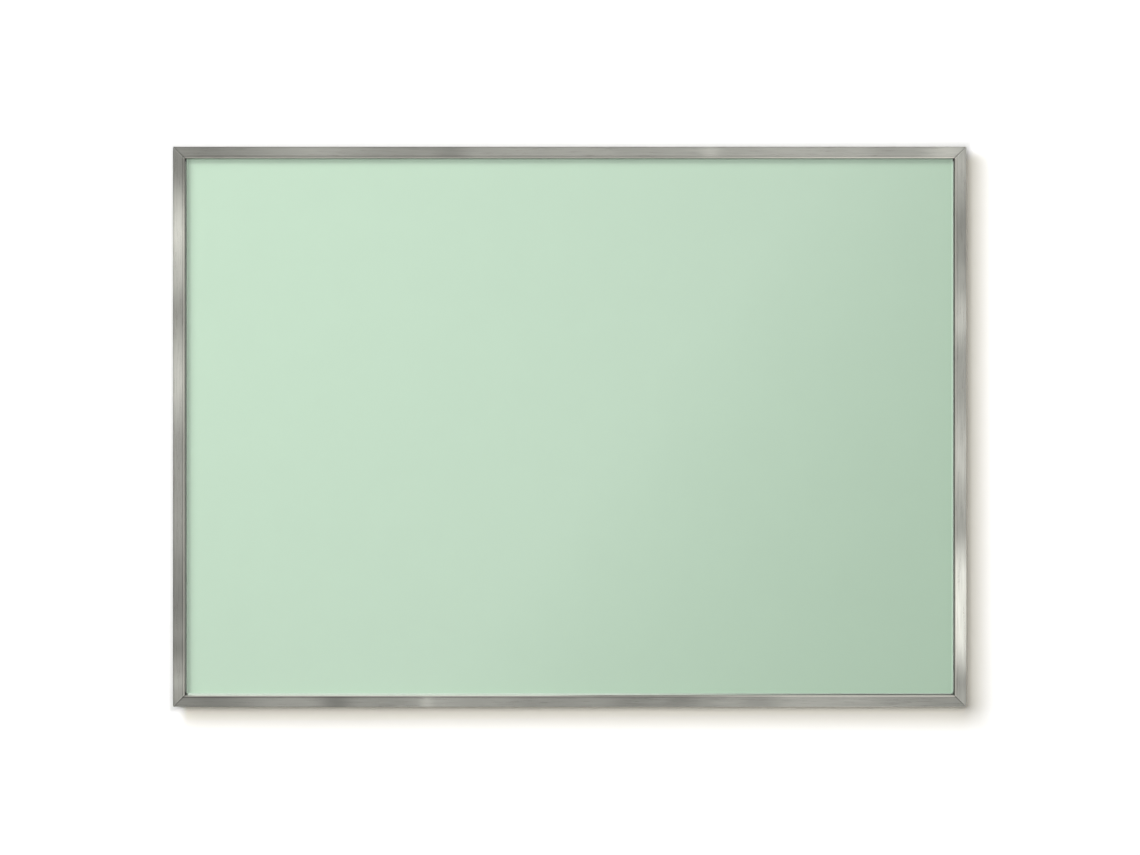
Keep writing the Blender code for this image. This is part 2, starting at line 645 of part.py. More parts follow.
def main():
    clear_scene()
    finishes = make_materials()
    wall_mount = empty("wall_mount", (0, 0, 0))
    board = empty("board", (0, -WALL_DEPTH, BOARD_MIDDLE), wall_mount)
    wall_rail(wall_mount, finishes)
    frame_bars(board, finishes)
    gaskets(board, finishes)
    glass_pane(board, finishes)
    flat_sheets(board, finishes)
    spring_clips(board, finishes)
    corner_fittings(board, finishes)
    hangers(board, finishes)
    bumpers(board, finishes)


main()
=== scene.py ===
import math

import bpy
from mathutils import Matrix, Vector


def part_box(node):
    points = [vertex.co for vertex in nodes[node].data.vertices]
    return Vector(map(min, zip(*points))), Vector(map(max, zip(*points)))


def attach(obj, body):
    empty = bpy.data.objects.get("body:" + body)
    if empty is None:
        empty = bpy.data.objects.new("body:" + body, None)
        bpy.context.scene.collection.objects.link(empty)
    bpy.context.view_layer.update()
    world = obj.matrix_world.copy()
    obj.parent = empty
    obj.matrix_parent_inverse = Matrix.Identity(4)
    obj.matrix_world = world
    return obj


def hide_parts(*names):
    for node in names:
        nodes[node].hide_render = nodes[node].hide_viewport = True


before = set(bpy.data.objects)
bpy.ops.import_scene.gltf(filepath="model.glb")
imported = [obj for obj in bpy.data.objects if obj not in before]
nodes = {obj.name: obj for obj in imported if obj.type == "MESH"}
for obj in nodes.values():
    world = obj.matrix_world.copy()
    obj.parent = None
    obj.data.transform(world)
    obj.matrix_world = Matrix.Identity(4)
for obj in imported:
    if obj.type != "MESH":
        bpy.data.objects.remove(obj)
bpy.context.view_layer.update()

topLow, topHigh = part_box("frame_top")
bottomLow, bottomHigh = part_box("frame_bottom")
leftLow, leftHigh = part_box("frame_left")
rightLow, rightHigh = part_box("frame_right")

# the board as the frame gives it: its middle, its face and the opening inside the four bars
board = {
    "middleX": (leftLow.x + rightHigh.x) / 2,
    "middleZ": (bottomLow.z + topHigh.z) / 2,
    "width": rightHigh.x - leftLow.x,
    "height": topHigh.z - bottomLow.z,
    "front": topLow.y,
    "innerHalfWidth": (rightLow.x - leftHigh.x) / 2,
    "innerHalfHeight": (topLow.z - bottomHigh.z) / 2,
    "faceWidth": topHigh.z - topLow.z,
}
print("stage: frame loaded,", len(nodes), "nodes")


class Wire:
    # a node's output, which adds its own Math nodes when it stands in a sum
    def __init__(self, web, socket):
        self.web = web
        self.socket = socket

    def maths(self, operation, *values):
        return self.web.add("ShaderNodeMath", {"operation": operation}, dict(enumerate(values)))

    def other(self, name):
        return Wire(self.web, self.socket.node.outputs[name])

    def __add__(self, other):
        return self.maths("ADD", self, other)

    def __sub__(self, other):
        return self.maths("SUBTRACT", self, other)

    def __rsub__(self, other):
        return self.maths("SUBTRACT", other, self)

    def __mul__(self, other):
        return self.maths("MULTIPLY", self, other)

    def __truediv__(self, other):
        return self.maths("DIVIDE", self, other)

    def __abs__(self):
        return self.maths("ABSOLUTE", self)

    def largest(self, other):
        return self.maths("MAXIMUM", self, other)

    def smallest(self, other):
        return self.maths("MINIMUM", self, other)

    __radd__ = __add__
    __rmul__ = __mul__


class Web:
    # the nodes of one material, or of the world
    def __init__(self, tree):
        self.tree = tree
        self.tree.nodes.clear()

    def add(self, kind, settings=None, sockets=None, output=0):
        node = self.tree.nodes.new(kind)
        for name, value in (settings or {}).items():
            if name == "stops":
                self.fillRamp(node.color_ramp, value)
            else:
                setattr(node, name, value)
        for name, value in (sockets or {}).items():
            if isinstance(value, Wire):
                self.tree.links.new(value.socket, node.inputs[name])
            else:
                node.inputs[name].default_value = value
        return Wire(self, node.outputs[output]) if node.outputs else node

    def fillRamp(self, ramp, stops):
        while len(ramp.elements) < len(stops):
            ramp.elements.new(1)
        for element, (place, grey) in zip(ramp.elements, stops):
            element.position = place
            element.color = (grey, grey, grey, 1)

    def places(self, kind="Object"):
        return self.add("ShaderNodeTexCoord", output=kind)

    def axes(self, where):
        x = self.add("ShaderNodeSeparateXYZ", sockets={0: where})
        return x, x.other("Y"), x.other("Z")

    def noise(self, where, size, detail=2.0, roughness=0.5, shift=(0, 0, 0)):
        # size is the length of one blotch along each axis, in metres
        scale = tuple(1 / length for length in size)
        laid = self.add("ShaderNodeMapping", sockets={"Vector": where, "Scale": scale, "Location": shift})
        sockets = {"Vector": laid, "Scale": 1.0, "Detail": detail, "Roughness": roughness}
        return self.add("ShaderNodeTexNoise", sockets=sockets)

    def smooth(self, value, start, end, low=0.0, high=1.0):
        # eases from low to high while value goes from start to end
        settings = {"interpolation_type": "SMOOTHSTEP", "clamp": True}
        sockets = {"Value": value, "From Min": start, "From Max": end, "To Min": low, "To Max": high}
        return self.add("ShaderNodeMapRange", settings, sockets)

    def bell(self, value, centre, reach):
        # 1 at the centre, easing to 0 at the reach on both sides
        return self.smooth(abs(value - centre), reach, 0.0)

    def lit(self, colour, amount):
        # a colour made lighter or darker by a value that changes over the surface
        return self.add("ShaderNodeVectorMath", {"operation": "SCALE"}, {0: colour, "Scale": amount})

    def blend(self, share, first, second):
        settings = {"data_type": "RGBA", "clamp_factor": True}
        return self.add("ShaderNodeMix", settings, {"Factor": share, 6: first, 7: second}, output=2)

    def bump(self, height, distance):
        return self.add("ShaderNodeBump", sockets={"Height": height, "Distance": distance})

    def principled(self, **sockets):
        named = {name.replace("_", " "): value for name, value in sockets.items()}
        shader = self.add("ShaderNodeBsdfPrincipled", sockets=named)
        self.add("ShaderNodeOutputMaterial", sockets={"Surface": shader})


def newWeb(name):
    made = bpy.data.materials.new(name)
    made.use_nodes = True
    return made, Web(made.node_tree)


def wear(material, *names):
    for name in names:
        nodes[name].data.materials.clear()
        nodes[name].data.materials.append(material)


def solid(colour):
    return (*colour, 1)


# the frame's bars: satin metal, brushed along each bar
metal = {
    "colour": (0.445, 0.445, 0.404),
    "beadLitColour": (0.495, 0.478, 0.434),
    "mintShine": (0.95, 1.0, 0.90),
    "roughness": 0.30,
    "bandLength": 0.075,
    "bandWidth": 0.05,
    "bandDepth": 0.16,
    "streakLength": 0.035,
    "streakWidth": 0.0022,
    "streakDepth": 0.15,
    "streakGloss": 0.10,
    "hairLength": 0.03,
    "hairWidth": 0.0003,
    "hairDepth": 0.17,
    "hairGloss": 0.16,
    "hairHeight": 0.00001,
    "beadFollows": 0.4,  # how far the bead follows the bar's light and dark stretches
    "grooveReach": 0.0010,
    "mitreLine": 0.0009,
    "mitreReach": 0.0011,
    "mitreFade": 0.4,
    # from here to there: back from the face, in from the rim, then out from the inner edge or the bead's
    "faceDepth": (0.0016, 0.0009),
    "rimDepth": (0.0022, 0.0008),
    "sideDepth": (0.0006, 0.0002),
    "shineDepth": (0.0011, 0.0006),
    "beadEdge": (0.0002, -0.0003),
    # from here to there, as shares of the bar's length
    "shineStart": (0.01, 0.03),
    "shineEnd": (0.55, 0.45),
}
# for each bar: its tone and its bead's, painted light that makes each bar lighter or darker as light falls
# on it;
# how dark the painted shade in its groove is before and after the rise; the painted line at its mitres, a
# highlight where above 0 and shade where below; a seed; where bead and groove lie from its inner edge; the
# painted shade on its rim and painted light on its inner side; its share of the painted reflection of the
# mint layer; how the bead's painted highlight rises towards one end (from, to, gain); and painted
# highlights and dark stretches of reflection on its face (place along it as a share, reach, gain)
bars = {
    "frame_left": {
        "upright": True, "tone": 0.728, "bead": 0.93, "groove": (0.17, 0.12), "mitre": 0.40, "seed": 1.3,
        "beadAt": 0.0010, "grooveAt": 0.0016, "rimShade": 0.16, "innerSideLight": 0.0, "shine": 0.0,
        "rise": (0.86, 0.97, -0.30),
        "paintedLightPatches": (
            (0.845, 0.11, 1.02), (0.758, 0.055, 0.34), (0.588, 0.12, 0.68), (0.19, 0.15, -0.36),
            (0.97, 0.07, -0.22), (0.103, 0.035, -0.22), (0.045, 0.025, 0.2), (0.0, 0.02, -0.2),
        ),
    },
    "frame_right": {
        "upright": True, "tone": 0.92, "bead": 0.93, "groove": (0.02, 0.06), "mitre": 0.30, "seed": 4.1,
        "beadAt": 0.0017, "grooveAt": 0.0023, "rimShade": 0.16, "innerSideLight": 0.0, "shine": 0.0,
        "rise": (0.30, 0.16, 0.0),
        "paintedLightPatches": (
            (0.228, 0.098, 1.2), (0.132, 0.10, 1.2), (0.05, 0.04, -0.2), (0.86, 0.08, -0.30),
            (0.693, 0.07, 0.46), (0.445, 0.12, 0.48), (0.80, 0.035, -0.15), (0.97, 0.045, 0.1),
        ),
    },
    "frame_top": {
        "upright": False, "tone": 0.782, "bead": 0.74, "groove": (0.0, 0.0), "mitre": -0.45, "seed": 7.7,
        "beadAt": 0.0017, "grooveAt": 0.0023, "rimShade": 0.16, "innerSideLight": 0.5, "shine": 0.0,
        "rise": (0.62, 0.86, 0.42),
        "paintedLightPatches": (
            (0.055, 0.12, -0.26), (0.30, 0.10, -0.14), (0.352, 0.038, -0.2), (0.60, 0.09, -0.06),
            (0.677, 0.02, 0.25), (0.79, 0.16, 0.2), (0.858, 0.035, 0.12), (0.975, 0.045, 0.5),
        ),
    },
    "frame_bottom": {
        "upright": False, "tone": 0.682, "bead": 0.67, "groove": (0.24, 0.06), "mitre": -0.50, "seed": 9.2,
        "beadAt": 0.0017, "grooveAt": 0.0023, "rimShade": 0.0, "innerSideLight": 0.6, "shine": 0.85,
        "rise": (0.60, 0.82, 0.75),
        "paintedLightPatches": (
            (0.042, 0.092, -0.35), (0.205, 0.035, -0.34), (0.33, 0.05, 0.2), (0.32, 0.014, 0.3),
            (0.405, 0.06, 0.12), (0.57, 0.05, -0.14), (0.64, 0.03, -0.16), (0.696, 0.04, 0.18),
            (0.745, 0.035, -0.18), (0.79, 0.13, 0.42), (0.865, 0.05, 0.13), (0.92, 0.06, 0.14),
        ),
    },
}


def barMetal(name, look):
    made, web = newWeb("brushed_" + name)
    where = web.places()
    x, y, z = web.axes(where)
    fromMiddleX = x - board["middleX"]
    fromMiddleZ = z - board["middleZ"]
    upright, seed = look["upright"], look["seed"]
    if upright:
        along, length, halfLength = fromMiddleZ, board["height"], board["innerHalfHeight"]
        inset = abs(fromMiddleX) - board["innerHalfWidth"]
    else:
        along, length, halfLength = fromMiddleX, board["width"], board["innerHalfWidth"]
        inset = abs(fromMiddleZ) - board["innerHalfHeight"]
    share = along / length + 0.5
    onFace = web.smooth(y - board["front"], *metal["faceDepth"])

    def brushed(lengthwise, crosswise):
        return (crosswise, crosswise, lengthwise) if upright else (lengthwise, crosswise, crosswise)

    bandSize = brushed(metal["bandLength"], metal["bandWidth"])
    streakSize = brushed(metal["streakLength"], metal["streakWidth"])
    hairSize = brushed(metal["hairLength"], metal["hairWidth"])
    band = web.noise(where, bandSize, 2.0, 0.5, (seed, seed, seed))
    streak = web.noise(where, streakSize, 2.0, 0.5, (seed, 3, seed))
    hair = web.noise(where, hairSize, 3.0, 0.6, (seed, 0, seed))
    # painted highlights and dark stretches of reflection at listed places along the face
    paintedPatchLight = 0
    for place, reach, gain in look["paintedLightPatches"]:
        paintedPatchLight = paintedPatchLight + gain * web.bell(share, place, reach)
    broad = 1 + metal["bandDepth"] * 2 * (band - 0.5) + onFace * paintedPatchLight
    fine = 1 + metal["streakDepth"] * 2 * (streak - 0.5) + metal["hairDepth"] * 2 * (hair - 0.5)
    riseFrom, riseTo, riseGain = look["rise"]
    risen = web.smooth(share, riseFrom, riseTo)
    # painted shade in the groove beside the bead, its strength changing along the bar with the rise
    first, last = look["groove"]
    grooveShadeStrength = first + (last - first) * risen
    groove = onFace * grooveShadeStrength * web.bell(inset, look["grooveAt"], metal["grooveReach"])
    # painted shade along the bar's rounded outer rim
    rim = look["rimShade"] * web.smooth(board["faceWidth"] - inset, *metal["rimDepth"])
    # painted light on the inner side face of the level bars, fading with the rise
    innerSideLight = look["innerSideLight"] * (1 - onFace) * (1 - risen) * web.smooth(inset, *metal["sideDepth"])
    # painted light: each bar's own tone makes it lighter or darker as the light falls on it
    tone = look["tone"] * broad * fine * (1 - groove) * (1 - rim) * (1 + innerSideLight)
    # painted line along the mitre: a highlight on the upright bars and shade in the joint on the level bars
    line = onFace * web.smooth(inset, board["faceWidth"], 0.0, metal["mitreFade"], 1.0)
    line = line * web.bell(halfLength + inset - abs(along), metal["mitreLine"], metal["mitreReach"])
    # the bead's painted highlight: lighter than the face, it follows the face's painted stretches and rises
    # towards one end
    bead = onFace * web.smooth(inset - look["beadAt"], *metal["beadEdge"])
    beadTone = 1 + metal["beadFollows"] * (broad - 1) + metal["hairDepth"] * (hair - 0.5) + riseGain * risen
    face = web.lit(metal["colour"], tone)
    edge = web.lit(metal["beadLitColour"], look["bead"] * beadTone)
    # painted reflection: its inner edge takes the mint layer's colour over a stretch of its length, as if
    # it mirrored it
    shine = look["shine"] * web.smooth(inset, *metal["shineDepth"])
    shine = shine * web.smooth(share, *metal["shineStart"]) * web.smooth(share, *metal["shineEnd"])
    edge = web.blend(shine, edge, solid(metal["mintShine"]))
    gloss = metal["hairGloss"] * (hair - 0.5) + metal["streakGloss"] * (streak - 0.5)
    web.principled(
        Base_Color=web.lit(web.blend(bead, face, edge), 1 + look["mitre"] * line),
        Metallic=1.0,
        Roughness=metal["roughness"] + gloss,
        Normal=web.bump(hair, metal["hairHeight"]),
    )
    return made


for bar, look in bars.items():
    wear(barMetal(bar, look), bar)
print("stage: bars brushed")

# the strip between glass and frame: matt black rubber, greyed where it shows by dust and by painted light
gasket = {
    "colour": (0.055, 0.057, 0.052),
    "dust": (0.19, 0.20, 0.18),
    "light": (0.72, 0.82, 0.72),
    "roughness": 0.55,
    "grain": 0.0012,
    "grainHeight": 0.00004,
    "patch": (0.03, 0.01, 0.03),
    "cornerReach": 0.004,
    "rimAt": (0.0008, 0.0013),
    "lightEnds": (0.34, 0.02),
}
# for each strip the share of dust, which also stands in for painted light, of the mint layer's painted
# light from its left end, and of that painted light on its rim
strips = {
    "gasket_top": (0.3, 0.0, 0.0),
    "gasket_right": (0.0, 0.0, 0.9),
    "gasket_bottom": (0.8, 0.9, 0.75),
    "gasket_left": (0.95, 0.06, 0.22),
}


def gasketRubber(name, dustAndLightShare, lightShare, rimShare):
    made, web = newWeb("black_" + name)
    where = web.places()
    x, y, z = web.axes(where)
    grain = web.noise(where, (gasket["grain"],) * 3, 4.0, 0.6)
    patch = web.noise(where, gasket["patch"], 2.0)
    pastX = board["innerHalfWidth"] - abs(x - board["middleX"])
    pastZ = board["innerHalfHeight"] - abs(z - board["middleZ"])
    # painted shade: near the corners the strip is left plain black, with no dust or light on it
    outsideCornerShade = web.smooth(pastX.largest(pastZ), gasket["cornerReach"] / 2, gasket["cornerReach"])
    share = dustAndLightShare * outsideCornerShade * (0.75 + 0.5 * patch)
    dusty = web.blend(share, solid(gasket["colour"]), solid(gasket["dust"]))
    # painted highlight: the mint layer's light along the strip from its left end and on its rim
    fromLeft = lightShare * web.smooth(x - board["middleX"], *gasket["lightEnds"])
    rim = rimShare * web.smooth(pastX.smallest(pastZ), *gasket["rimAt"])
    dusty = web.blend(outsideCornerShade * fromLeft.largest(rim), dusty, solid(gasket["light"]))
    web.principled(
        Base_Color=web.lit(dusty, 0.85 + 0.3 * grain),
        Roughness=gasket["roughness"] + 0.2 * (grain - 0.5),
        Normal=web.bump(grain, gasket["grainHeight"]),
    )
    return made


for strip, shares in strips.items():
    wear(gasketRubber(strip, *shares), strip)

# clear toughened glass: the mint layer shows through it, and it mirrors faintly
glass = {
    "mirror": 0.06,
    "tint": (0.985, 1.0, 0.992),
    "polish": 0.012,
    "smear": 0.02,
    "smearSize": (0.18, 0.05, 0.09),
    "edgeTint": (0.55, 0.80, 0.66),
    "edgeRoughness": 0.45,
    "edgeAlpha": 0.7,
    "groundEdge": (0.0009, 0.0004),
}


def clearGlass():
    made, web = newWeb("clear_glass")
    where = web.places()
    x, y, z = web.axes(where)
    smear = web.noise(where, glass["smearSize"], 3.0, 0.6)
    # past the arris the ground edge looks green and matt
    paneLow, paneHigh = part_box("glass_pane")
    halfHigh = (paneHigh.z - paneLow.z) / 2
    inward = (paneHigh.x - abs(x)).smallest(halfHigh - abs(z - board["middleZ"]))
    edge = web.smooth(inward, *glass["groundEdge"])
    # it mirrors more at a glance, and only on its way in
    facing = web.add("ShaderNodeLayerWeight", sockets={"Blend": 0.5}, output="Facing")
    inside = web.add("ShaderNodeNewGeometry", output="Backfacing")
    mirror = (glass["mirror"] + (1 - glass["mirror"]) * facing.maths("POWER", facing, 5.0)) * (1 - inside)
    through = web.add("ShaderNodeBsdfTransparent", sockets={"Color": solid(glass["tint"])})
    smeared = glass["polish"] + glass["smear"] * smear
    gloss = web.add("ShaderNodeBsdfAnisotropic", sockets={"Roughness": smeared})
    clear = web.add("ShaderNodeMixShader", sockets={0: mirror, 1: through, 2: gloss})
    ground = web.add("ShaderNodeBsdfPrincipled", sockets={
        "Base Color": solid(glass["edgeTint"]),
        "Roughness": glass["edgeRoughness"],
        "Alpha": glass["edgeAlpha"],
    })
    whole = web.add("ShaderNodeMixShader", sockets={0: edge, 1: clear, 2: ground})
    web.add("ShaderNodeOutputMaterial", sockets={"Surface": whole})
    return made


wear(clearGlass(), "glass_pane")

# the mint layer behind the glass
film = {
    "colour": (0.568, 0.712, 0.572),
    "roughness": 0.5,
    "mottle": 0.012,
    "mottleSize": 0.05,
    "speck": 0.02,
    "speckSize": 0.0011,
    # painted light beside the gasket and painted shade under the frame: distance in from the bar, reach,
    # gain
    "low": (0.0024, 0.0012, 0.06),
    "right": (0.0016, 0.0011, 0.25),
    "left": (0.0019, 0.0010, 0.45),
    "leftShade": (0.0038, 0.0030, -0.13),
    "topShade": (0.0030, 0.0036, -0.12),
}


def mintFilm():
    made, web = newWeb("mint_film")
    where = web.places()
    x, y, z = web.axes(where)
    mottle = web.noise(where, (film["mottleSize"],) * 3, 3.0, 0.55)
    grain = web.noise(where, (film["speckSize"],) * 3, 2.0, 0.6)
    tone = 1 + film["mottle"] * 2 * (mottle - 0.5) + film["speck"] * (grain - 0.5)
    fromLeft = x - board["middleX"] + board["innerHalfWidth"]
    fromRight = board["innerHalfWidth"] - (x - board["middleX"])
    fromLow = z - board["middleZ"] + board["innerHalfHeight"]
    fromTop = board["innerHalfHeight"] - (z - board["middleZ"])
    distances = {
        "low": fromLow,
        "right": fromRight,
        "left": fromLeft,
        "leftShade": fromLeft,
        "topShade": fromTop,
    }
    # painted light and painted shade in lines along the opening's edges
    for line, distance in distances.items():
        place, reach, gain = film[line]
        tone = tone + gain * web.bell(distance, place, reach)
    web.principled(
        Base_Color=web.lit(film["colour"], tone),
        Roughness=film["roughness"] + 0.1 * (mottle - 0.5),
        Specular_IOR_Level=0.2,
    )
    return made


wear(mintFilm(), "colour_film")

# galvanised sheet that the magnets hold to
galvanised = {
    "colour": (0.55, 0.57, 0.58),
    "roughness": 0.36,
    "spangle": 0.009,
    "spangleDepth": 0.16,
    "spangleGloss": 0.14,
    "bloom": 0.03,
    "bloomDepth": 0.1,
}


def galvanisedSteel():
    made, web = newWeb("galvanised_steel")
    where = web.places()
    sockets = {"Vector": where, "Scale": 1 / galvanised["spangle"]}
    flakes = web.add("ShaderNodeTexVoronoi", sockets=sockets, output="Color")
    flake = web.add("ShaderNodeSeparateColor", sockets={0: flakes})
    bloom = web.noise(where, (galvanised["bloom"],) * 3, 3.0)
    tone = 1 + galvanised["spangleDepth"] * (flake - 0.5) + galvanised["bloomDepth"] * (bloom - 0.5)
    gloss = galvanised["spangleGloss"] * flake.other("Green") + galvanised["bloomDepth"] * bloom
    web.principled(
        Base_Color=web.lit(galvanised["colour"], tone),
        Metallic=1.0,
        Roughness=galvanised["roughness"] + gloss,
    )
    return made


wear(galvanisedSteel(), "steel_sheet")

# backboard: brown hardboard, pressed from fine fibres
hardboard = {
    "colour": (0.33, 0.25, 0.17),
    "pale": (0.50, 0.40, 0.28),
    "dark": (0.17, 0.12, 0.075),
    "fibreLength": 0.0026,
    "fibreWidth": 0.00035,
    "fibreTurns": (0.4, 1.5, 2.6),
    "fibreHeight": 0.0001,
    "fibreShare": 0.45,
    "paleFrom": (0.58, 0.80),
    "darkFrom": (0.42, 0.24),
    "cloud": 0.09,
    "cloudDepth": 0.22,
    "scuff": (0.22, 0.05, 0.012),
    "scuffFrom": (0.60, 0.74),
    "scuffDepth": 0.16,
    "roughness": 0.62,
}


def pressedHardboard():
    made, web = newWeb("hardboard")
    where = web.places()
    size = (hardboard["fibreLength"], hardboard["fibreLength"], hardboard["fibreWidth"])
    fibres = []
    for turn in hardboard["fibreTurns"]:
        turned = web.add("ShaderNodeMapping", sockets={"Vector": where, "Rotation": (0, turn, 0)})
        fibres.append(web.noise(turned, size, 2.0, 0.6, (turn, 0, 0)))
    fibre = fibres[0].largest(fibres[1]).largest(fibres[2])
    gap = fibres[0].smallest(fibres[1]).smallest(fibres[2])
    cloud = web.noise(where, (hardboard["cloud"],) * 3, 4.0, 0.55)
    scuff = web.noise(where, hardboard["scuff"], 4.0, 0.65, (5, 0, 2))
    pale = web.smooth(fibre, *hardboard["paleFrom"], 0.0, hardboard["fibreShare"])
    dark = web.smooth(gap, *hardboard["darkFrom"], 0.0, hardboard["fibreShare"])
    brown = web.blend(pale, solid(hardboard["colour"]), solid(hardboard["pale"]))
    brown = web.blend(dark, brown, solid(hardboard["dark"]))
    scuffed = web.smooth(scuff, *hardboard["scuffFrom"], 0.0, hardboard["scuffDepth"])
    web.principled(
        Base_Color=web.lit(brown, 1 + hardboard["cloudDepth"] * (cloud - 0.5) + scuffed),
        Roughness=hardboard["roughness"] + 0.25 * (fibre - 0.5),
        Specular_IOR_Level=0.35,
        Normal=web.bump(fibre - 0.5 * gap, hardboard["fibreHeight"]),
    )
    return made


wear(pressedHardboard(), "backboard")

# spring clips: dark tempered strip with straw and blue heat tints in patches
spring = {
    "colour": (0.30, 0.31, 0.33),
    "straw": (0.40, 0.31, 0.18),
    "blue": (0.16, 0.20, 0.34),
    "tint": 0.018,
    "tintShare": 0.6,
    "strawFrom": (0.52, 0.68),
    "blueFrom": (0.46, 0.32),
    "streakLength": 0.02,
    "streakWidth": 0.0004,
    "streakHeight": 0.00001,
    "roughness": 0.28,
}


def temperedSpring(name, upright):
    made, web = newWeb(name)
    where = web.places()
    long, thin = spring["streakLength"], spring["streakWidth"]
    streak = web.noise(where, (thin, thin, long) if upright else (long, thin, thin), 3.0, 0.6)
    tint = web.noise(where, (spring["tint"],) * 3, 2.0, 0.5, (2, 1, 4))
    straw = web.smooth(tint, *spring["strawFrom"], 0.0, spring["tintShare"])
    blue = web.smooth(tint, *spring["blueFrom"], 0.0, spring["tintShare"])
    steel = web.blend(straw, solid(spring["colour"]), solid(spring["straw"]))
    steel = web.blend(blue, steel, solid(spring["blue"]))
    web.principled(
        Base_Color=web.lit(steel, 0.85 + 0.3 * streak),
        Metallic=1.0,
        Roughness=spring["roughness"] + 0.2 * streak,
        Normal=web.bump(streak, spring["streakHeight"]),
    )
    return made


flatSpring = temperedSpring("spring_steel_flat", False)
uprightSpring = temperedSpring("spring_steel_upright", True)
for name in nodes:
    if name.startswith(("spring_clip_top", "spring_clip_bottom")):
        wear(flatSpring, name)
    elif name.startswith("spring_clip"):
        wear(uprightSpring, name)

# corner fittings, hangers and their screws: bright zinc plate, faintly clouded
zinc = {
    "colour": (0.62, 0.63, 0.64),
    "warm": (0.66, 0.62, 0.50),
    "warmFrom": (0.45, 0.70),
    "warmShare": 0.6,
    "dark": (0.42, 0.43, 0.44),
    "darkFrom": (0.58, 0.72),
    "darkShare": 0.5,
    "cloud": 0.012,
    "stain": 0.006,
    "rolled": (0.0006, 0.0006, 0.006),
    "rolledHeight": 0.00001,
    "roughness": 0.24,
}


def zincPlate():
    made, web = newWeb("zinc_plated_steel")
    where = web.places()
    cloud = web.noise(where, (zinc["cloud"],) * 3, 3.0, 0.55)
    rolled = web.noise(where, zinc["rolled"], 3.0, 0.6)
    stain = web.noise(where, (zinc["stain"],) * 3, 4.0, 0.6, (7, 2, 1))
    warm = web.smooth(cloud, *zinc["warmFrom"], 0.0, zinc["warmShare"])
    dark = web.smooth(stain, *zinc["darkFrom"], 0.0, zinc["darkShare"])
    plate = web.blend(warm, solid(zinc["colour"]), solid(zinc["warm"]))
    plate = web.blend(dark, plate, solid(zinc["dark"]))
    web.principled(
        Base_Color=web.lit(plate, 0.92 + 0.16 * rolled),
        Metallic=1.0,
        Roughness=zinc["roughness"] + 0.16 * cloud + 0.1 * rolled,
        Normal=web.bump(rolled, zinc["rolledHeight"]),
    )
    return made


plated = zincPlate()
for name in nodes:
    if name.startswith(("corner_", "hanger_")):
        wear(plated, name)

# wall rail: mill finish extrusion with die lines along it
rail = {
    "colour": (0.72, 0.73, 0.74),
    "lineWidth": 0.0005,
    "lineLength": 0.5,
    "lineHeight": 0.00002,
    "cloud": 0.04,
    "mark": (0.01, 0.004, 0.002),
    "markFrom": (0.64, 0.76),
    "markDepth": 0.25,
    "roughness": 0.30,
}


def millAluminium():
    made, web = newWeb("mill_aluminium")
    where = web.places()
    line = web.noise(where, (rail["lineLength"], rail["lineWidth"], rail["lineWidth"]), 4.0, 0.65)
    cloud = web.noise(where, (rail["cloud"] * 3, rail["cloud"], rail["cloud"]), 3.0, 0.5, (1, 5, 2))
    mark = web.noise(where, rail["mark"], 4.0, 0.7, (3, 3, 8))
    marks = web.smooth(mark, *rail["markFrom"], 0.0, rail["markDepth"])
    web.principled(
        Base_Color=web.lit(rail["colour"], 1 + 0.22 * (line - 0.5) + 0.18 * (cloud - 0.5) - marks),
        Metallic=1.0,
        Roughness=rail["roughness"] + 0.18 * (line - 0.5) + 0.15 * (cloud - 0.5) + marks,
        Normal=web.bump(line, rail["lineHeight"]),
    )
    return made


wear(millAluminium(), "wall_rail")

# bumpers: soft clear rubber gone slightly grey
bumper = {
    "colour": (0.60, 0.60, 0.57),
    "through": (0.94, 0.95, 0.93),
    "roughness": 0.28,
    "clearness": 0.55,
    "cloud": 0.004,
    "dust": 0.0007,
    "dustFrom": (0.62, 0.75),
    "dustDepth": 0.2,
}


def clearRubber():
    made, web = newWeb("clear_rubber")
    where = web.places()
    cloud = web.noise(where, (bumper["cloud"],) * 3, 3.0, 0.5)
    dust = web.noise(where, (bumper["dust"],) * 3, 3.0, 0.7, (4, 4, 4))
    dusty = 0.85 + 0.3 * cloud - web.smooth(dust, *bumper["dustFrom"], 0.0, bumper["dustDepth"])
    rubber = web.add("ShaderNodeBsdfPrincipled", sockets={
        "Base Color": web.lit(bumper["colour"], dusty),
        "Roughness": bumper["roughness"] + 0.3 * (dust - 0.5),
    })
    through = web.add("ShaderNodeBsdfTransparent", sockets={"Color": solid(bumper["through"])})
    # it is clearest where it is looked straight into
    facing = web.add("ShaderNodeLayerWeight", sockets={"Blend": 0.5}, output="Facing")
    clear = bumper["clearness"] * (1 - facing) * (0.8 + 0.4 * cloud)
    mixed = web.add("ShaderNodeMixShader", sockets={0: clear, 1: rubber, 2: through})
    web.add("ShaderNodeOutputMaterial", sockets={"Surface": mixed})
    return made


padRubber = clearRubber()
wear(padRubber, "bumper_left", "bumper_right")
print("stage: materials on")


# a point this close to a plane lies on it
touch = 0.00001


def selectOnly(*pieces):
    bpy.ops.object.select_all(action="DESELECT")
    for piece in pieces:
        piece.select_set(True)
        bpy.context.view_layer.objects.active = piece


def bakePlace(piece):
    selectOnly(piece)
    bpy.ops.object.transform_apply(location=True, rotation=True, scale=True)


